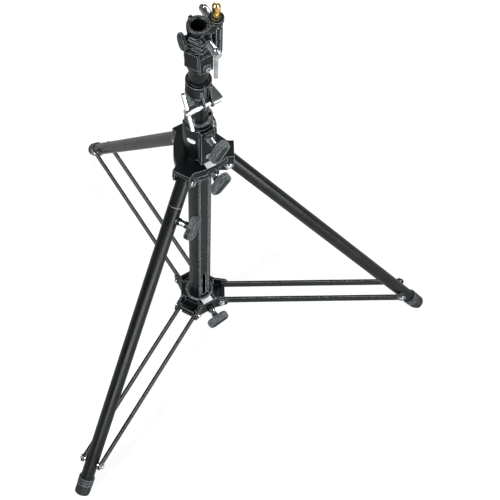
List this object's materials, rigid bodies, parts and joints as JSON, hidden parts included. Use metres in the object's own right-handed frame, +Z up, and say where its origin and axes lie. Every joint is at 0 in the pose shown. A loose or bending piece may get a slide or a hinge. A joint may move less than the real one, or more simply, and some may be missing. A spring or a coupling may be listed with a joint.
{
  "type": "crank lighting stand",
  "caption": "Folding crank lighting stand: three braced legs, one adjustable for level, a geared riser, a clamped riser and a combination socket and spigot head.",
  "frame": {"origin": "on the floor, on the axis of the column", "axes": "+Z up along the column; +X from the column towards leg B"},
  "size_m": [0.8486, 0.9744, 1.09],
  "materials": {
    "black_coat": "satin powder coat",
    "black_casting": "matte textured coat",
    "black_plastic": "fine grain",
    "bright_plate": "polished",
    "gear_steel": "machined",
    "brass": "polished",
    "bronze": "machined",
    "alloy_insert": "cast",
    "grey_nylon": "matte",
    "blank_plate": "satin"
  },
  "bodies": {
    "base": {"column": "black_coat", "hub_casting": "black_casting", "hub_cover": "black_coat", "badge_plates": "blank_plate", "guide_ring": "bright_plate", "guide_bush": "grey_nylon", "gear_housing": "black_coat", "hub_fasteners": "bright_plate", "shaft_bushes": "bronze", "hinge_pins": "bright_plate"},
    "leg_b": {"leg_b_tube": "black_coat", "leg_b_foot": "black_plastic", "leg_b_fittings": "alloy_insert"},
    "leg_c": {"leg_c_tube": "black_coat", "leg_c_foot": "black_plastic", "leg_c_fittings": "alloy_insert"},
    "leg_a_pin": {"hinge_pin_a": "bright_plate"},
    "leg_a_inner": {"leg_a_inner_tube": "black_coat", "leg_a_pivot": "alloy_insert"},
    "leg_a_outer": {"leg_a_tube": "black_coat", "leg_a_foot": "black_plastic", "leg_a_boss": "black_casting"},
    "levelling_lock": {"levelling_knob": "black_plastic", "levelling_screw": "bright_plate"},
    "collar": {"collar_casting": "black_casting", "collar_liner": "grey_nylon", "collar_plate": "blank_plate", "brace_pins": "bright_plate"},
    "brace_a_pivot": {"brace_pin_a": "bright_plate"},
    "brace_pair_a": {"braces_a": "black_coat", "brace_bolts_a": "bright_plate"},
    "brace_pair_b": {"braces_b": "black_coat", "brace_bolts_b": "bright_plate"},
    "brace_pair_c": {"braces_c": "black_coat", "brace_bolts_c": "bright_plate"},
    "collar_lock": {"collar_knob": "black_plastic", "collar_screw": "bright_plate"},
    "hub_lock": {"hub_knob": "black_plastic", "hub_screw": "bright_plate"},
    "riser_lock": {"riser_knob": "black_plastic", "riser_screw": "bright_plate"},
    "crank": {"crank_shaft": "gear_steel", "crank_arm": "bright_plate"},
    "grip": {"crank_grip": "black_plastic"},
    "riser_1": {"riser_1_tube": "black_coat", "rack": "gear_steel", "riser_clamp": "black_casting", "ribbed_sleeve": "black_casting"},
    "clamp_t": {"clamp_screw": "bright_plate"},
    "clamp_t_bar": {"clamp_bar": "bright_plate"},
    "riser_2": {"riser_2_tube": "black_coat", "riser_2_bush": "grey_nylon", "head_casting": "black_casting", "head_nuts": "bright_plate"},
    "socket_t": {"socket_screw": "bright_plate"},
    "socket_t_bar": {"socket_bar": "bright_plate"},
    "spigot_t": {"spigot_screw": "bright_plate"},
    "spigot_t_bar": {"spigot_bar": "bright_plate"},
    "side_lock": {"side_knob": "black_plastic"},
    "stud": {"spigot": "brass"}
  },
  "joints": [
    {"name": "collar_slide", "type": "slide", "parent": "base", "child": "collar", "axis": [0, 0, 1], "range_m": [0, 0.2901]},
    {"name": "leg_b_fold", "type": "hinge", "parent": "base", "child": "leg_b", "pos_m": [0.06, 0, 0.649], "axis": [0, 1, 0], "range_deg": [0, 33.5]},
    {"name": "leg_c_fold", "type": "hinge", "parent": "base", "child": "leg_c", "pos_m": [-0.03, 0.05196, 0.649], "axis": [-0.866, -0.5, 0], "range_deg": [0, 33.5]},
    {"name": "leg_a_fold", "type": "hinge", "parent": "base", "child": "leg_a_pin", "pos_m": [-0.03, -0.05196, 0.649], "axis": [0.866, -0.5, 0], "range_deg": [0, 33.5]},
    {"name": "leg_a_level_tilt", "type": "hinge", "parent": "leg_a_pin", "child": "leg_a_inner", "pos_m": [-0.03, -0.05196, 0.649], "axis": [0.866, -0.5, 0], "range_deg": [0, 3.2]},
    {"name": "levelling_slide", "type": "slide", "parent": "leg_a_inner", "child": "leg_a_outer", "axis": [-0.2988, -0.5176, -0.8018], "range_m": [0, 0.045]},
    {"name": "levelling_knob_spin", "type": "hinge", "parent": "leg_a_outer", "child": "levelling_lock", "pos_m": [-0.05689, -0.09854, 0.57684], "axis": [0.866, -0.5, 0], "continuous": true},
    {"name": "brace_a_fold", "type": "hinge", "parent": "collar", "child": "brace_a_pivot", "pos_m": [-0.0275, -0.04763, 0.06803], "axis": [0.866, -0.5, 0], "range_deg": [0, 84]},
    {"name": "brace_a_level_tilt", "type": "hinge", "parent": "brace_a_pivot", "child": "brace_pair_a", "pos_m": [-0.0275, -0.04763, 0.06803], "axis": [0.866, -0.5, 0], "range_deg": [0, 8.5]},
    {"name": "brace_b_fold", "type": "hinge", "parent": "collar", "child": "brace_pair_b", "pos_m": [0.055, 0, 0.06803], "axis": [0, 1, 0], "range_deg": [0, 84]},
    {"name": "brace_c_fold", "type": "hinge", "parent": "collar", "child": "brace_pair_c", "pos_m": [-0.0275, 0.04763, 0.06803], "axis": [-0.866, -0.5, 0], "range_deg": [0, 84]},
    {"name": "collar_knob_spin", "type": "hinge", "parent": "collar", "child": "collar_lock", "pos_m": [0.036, -0.06235, 0.072], "axis": [0.5, -0.866, 0], "continuous": true},
    {"name": "hub_knob_spin", "type": "hinge", "parent": "base", "child": "hub_lock", "pos_m": [0.0335, -0.05802, 0.662], "axis": [0.5, -0.866, 0], "continuous": true},
    {"name": "riser_knob_spin", "type": "hinge", "parent": "base", "child": "riser_lock", "pos_m": [0.03, -0.05196, 0.765], "axis": [0.5, -0.866, 0], "continuous": true},
    {"name": "crank_spin", "type": "hinge", "parent": "base", "child": "crank", "pos_m": [0.02995, 0, 0.622], "axis": [0, 1, 0], "range_deg": [0, 2940]},
    {"name": "grip_spin", "type": "hinge", "parent": "crank", "child": "grip", "pos_m": [0.02995, 0.12, 0.56], "axis": [0, 1, 0], "continuous": true},
    {"name": "riser_1_slide", "type": "slide", "parent": "base", "child": "riser_1", "axis": [0, 0, 1], "range_m": [0, 0.36]},
    {"name": "clamp_screw_spin", "type": "hinge", "parent": "riser_1", "child": "clamp_t", "pos_m": [0.0145, -0.02511, 0.863], "axis": [-0.866, -0.5, 0], "continuous": true},
    {"name": "clamp_bar_slide", "type": "slide", "parent": "clamp_t", "child": "clamp_t_bar", "axis": [-0.2113, 0.366, 0.9063], "range_m": [-0.03, 0.03]},
    {"name": "riser_2_slide", "type": "slide", "parent": "riser_1", "child": "riser_2", "axis": [0, 0, 1], "range_m": [0, 0.45]},
    {"name": "socket_screw_spin", "type": "hinge", "parent": "riser_2", "child": "socket_t", "pos_m": [0.02, -0.03464, 1.043], "axis": [0.5, -0.866, 0], "continuous": true},
    {"name": "socket_bar_slide", "type": "slide", "parent": "socket_t", "child": "socket_t_bar", "axis": [0, 0, 1], "range_m": [0, 0.06]},
    {"name": "spigot_screw_spin", "type": "hinge", "parent": "riser_2", "child": "spigot_t", "pos_m": [0.03118, 0.018, 1.036], "axis": [-0.5, 0.866, 0], "continuous": true},
    {"name": "spigot_bar_slide", "type": "slide", "parent": "spigot_t", "child": "spigot_t_bar", "axis": [0, 0, 1], "range_m": [0, 0.052]},
    {"name": "side_knob_spin", "type": "hinge", "parent": "riser_2", "child": "side_lock", "pos_m": [-0.02819, -0.01026, 1.023], "axis": [-0.9397, -0.342, 0], "continuous": true},
    {"name": "spigot_pull", "type": "slide", "parent": "riser_2", "child": "stud", "axis": [0, 0, 1], "range_m": [0, 0.045]}
  ],
  "couplings": [
    {"joint": "leg_b_fold", "follows": "collar_slide", "rad_per_m": 1.8049},
    {"joint": "leg_c_fold", "follows": "collar_slide", "rad_per_m": 1.8049},
    {"joint": "leg_a_fold", "follows": "collar_slide", "rad_per_m": 1.8049},
    {"joint": "brace_a_fold", "follows": "collar_slide", "rad_per_m": 4.7051},
    {"joint": "brace_b_fold", "follows": "collar_slide", "rad_per_m": 4.7051},
    {"joint": "brace_c_fold", "follows": "collar_slide", "rad_per_m": 4.7051},
    {"joint": "leg_a_level_tilt", "follows": "levelling_slide", "rad_per_m": 1.0872},
    {"joint": "brace_a_level_tilt", "follows": "levelling_slide", "rad_per_m": 2.9426},
    {"joint": "riser_1_slide", "follows": "crank_spin", "m_per_rad": 0.007}
  ]
}
